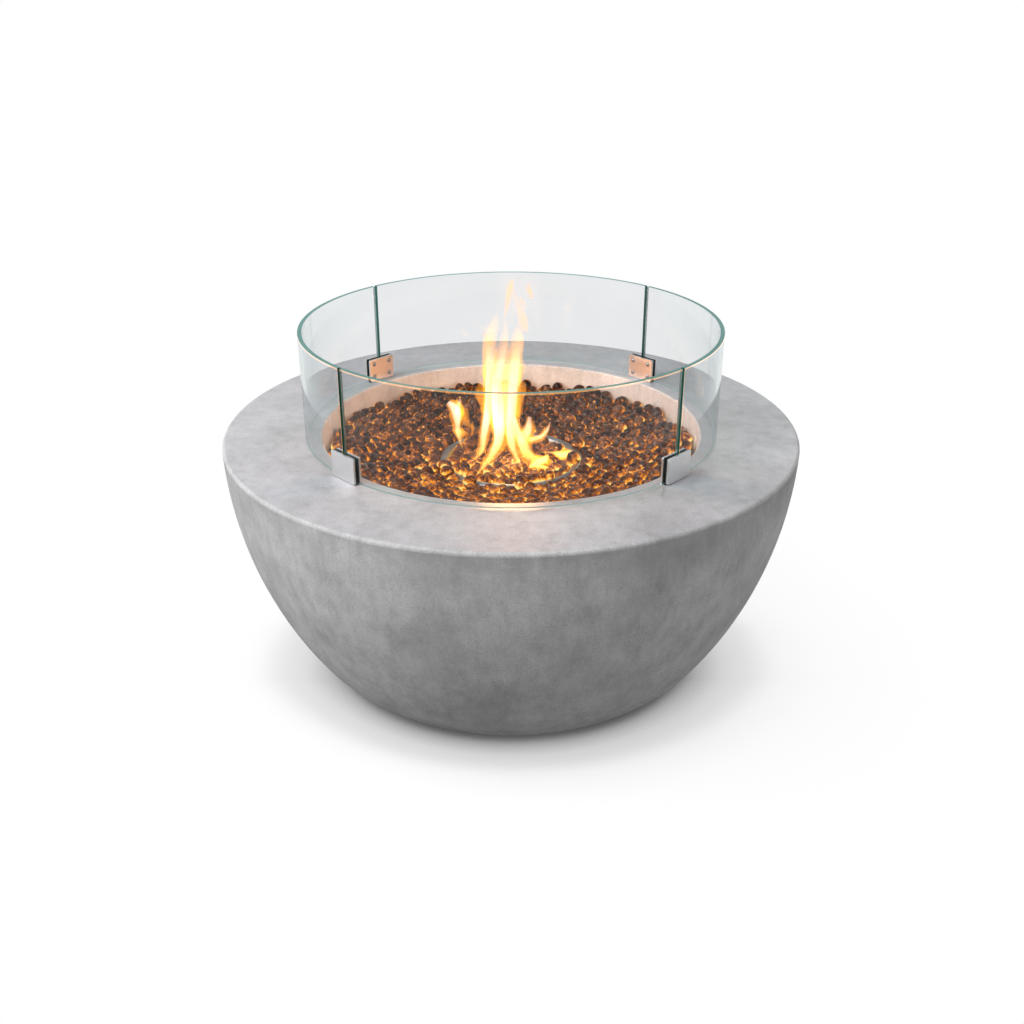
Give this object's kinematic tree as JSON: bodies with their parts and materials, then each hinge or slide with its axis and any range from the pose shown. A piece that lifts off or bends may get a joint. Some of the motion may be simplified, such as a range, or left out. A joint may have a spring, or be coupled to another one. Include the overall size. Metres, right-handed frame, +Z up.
{
  "type": "gas fire pit table",
  "caption": "Round concrete bowl with a table rim around a sunken ring gas burner in amber fire glass, with a lift-off curved glass wind guard and rear controls.",
  "frame": {"origin": "on the floor under the bowl's axis", "axes": "+Z up along the bowl's axis; the front faces -Y, +X is to the right seen from the front, and the controls are at the back, +Y"},
  "size_m": [0.8639, 0.864, 0.5705],
  "materials": {
    "concrete": "fine cast concrete, cloudy, matt",
    "pan_steel": "heat-stained sheet",
    "burner_steel": "heat-tinted stainless tube",
    "steel": "plain stainless",
    "fire_glass": "amber fire-glass beads",
    "brass": "machined brass",
    "braided_hose": "braided stainless",
    "panel_steel": "brushed sheet",
    "black_plastic": "moulded, matt",
    "red_plastic": "moulded, satin",
    "battery_can": "plain dark sleeve",
    "ceramic": "unglazed white",
    "copper": "copper",
    "lead_jacket": "silicone jacket",
    "spring_steel": "drawn wire",
    "rubber": "moulded rubber",
    "clamp_steel": "satin stainless plate",
    "gasket_rubber": "black rubber",
    "guard_glass": "clear tempered glass, green edges"
  },
  "bodies": {
    "base": {"bowl_shell": "concrete", "table_top": "concrete", "burner_pan": "pan_steel", "burner_ring": "burner_steel", "feed_tube": "burner_steel", "inlet_nipple": "burner_steel", "pan_locknut": "burner_steel", "ring_standoffs": "burner_steel", "standoff_screws": "steel", "fire_glass": "fire_glass", "air_mixer": "brass", "gas_orifice": "brass", "supply_hose": "braided_hose", "hose_nuts": "brass", "valve_body": "brass", "valve_nut": "brass", "gas_inlet_fitting": "brass", "control_panel": "panel_steel", "panel_screws": "steel", "igniter_body": "black_plastic", "igniter_nut": "black_plastic", "battery": "battery_can", "sensor_bracket": "burner_steel", "bracket_screws": "steel", "spark_electrode": "ceramic", "electrode_rod": "steel", "thermocouple": "copper", "ignition_lead": "lead_jacket", "thermocouple_lead": "copper", "igniter_spring": "spring_steel", "foot_back_right": "rubber", "foot_back_left": "rubber", "foot_front_left": "rubber", "foot_front_right": "rubber"},
    "valve_core": {"valve_plug": "brass", "stem_spring": "spring_steel"},
    "knob": {"valve_stem": "steel", "control_knob": "black_plastic", "knob_set_screw": "spring_steel"},
    "igniter_button": {"igniter_button": "red_plastic"},
    "wind_guard": {"glass_right": "guard_glass", "glass_back": "guard_glass", "glass_left": "guard_glass", "glass_front": "guard_glass", "outer_clamp_back_right": "clamp_steel", "outer_clamp_back_left": "clamp_steel", "outer_clamp_front_left": "clamp_steel", "outer_clamp_front_right": "clamp_steel", "inner_clamp_back_right": "clamp_steel", "inner_clamp_back_left": "clamp_steel", "inner_clamp_front_left": "clamp_steel", "inner_clamp_front_right": "clamp_steel", "gasket_back_right": "gasket_rubber", "gasket_back_left": "gasket_rubber", "gasket_front_left": "gasket_rubber", "gasket_front_right": "gasket_rubber", "clamp_screws": "steel"}
  },
  "joints": [
    {"name": "guard_lift", "type": "slide", "parent": "base", "child": "wind_guard", "axis": [0, 0, 1], "range_m": [0, 0.2]},
    {"name": "knob_turn", "type": "hinge", "parent": "base", "child": "valve_core", "pos_m": [-0.032, 0.37685, 0.262], "axis": [0, 1, 0], "range_deg": [0, 180]},
    {"name": "knob_push", "type": "slide", "parent": "valve_core", "child": "knob", "axis": [0, 1, 0], "range_m": [-0.003, 0], "stiffness_N_per_m": 700, "springref_m": 0.004, "deforming": ["stem_spring"]},
    {"name": "igniter_press", "type": "slide", "parent": "base", "child": "igniter_button", "axis": [0, 1, 0], "range_m": [-0.0035, 0], "stiffness_N_per_m": 600, "springref_m": 0.004, "deforming": ["igniter_spring"]}
  ]
}
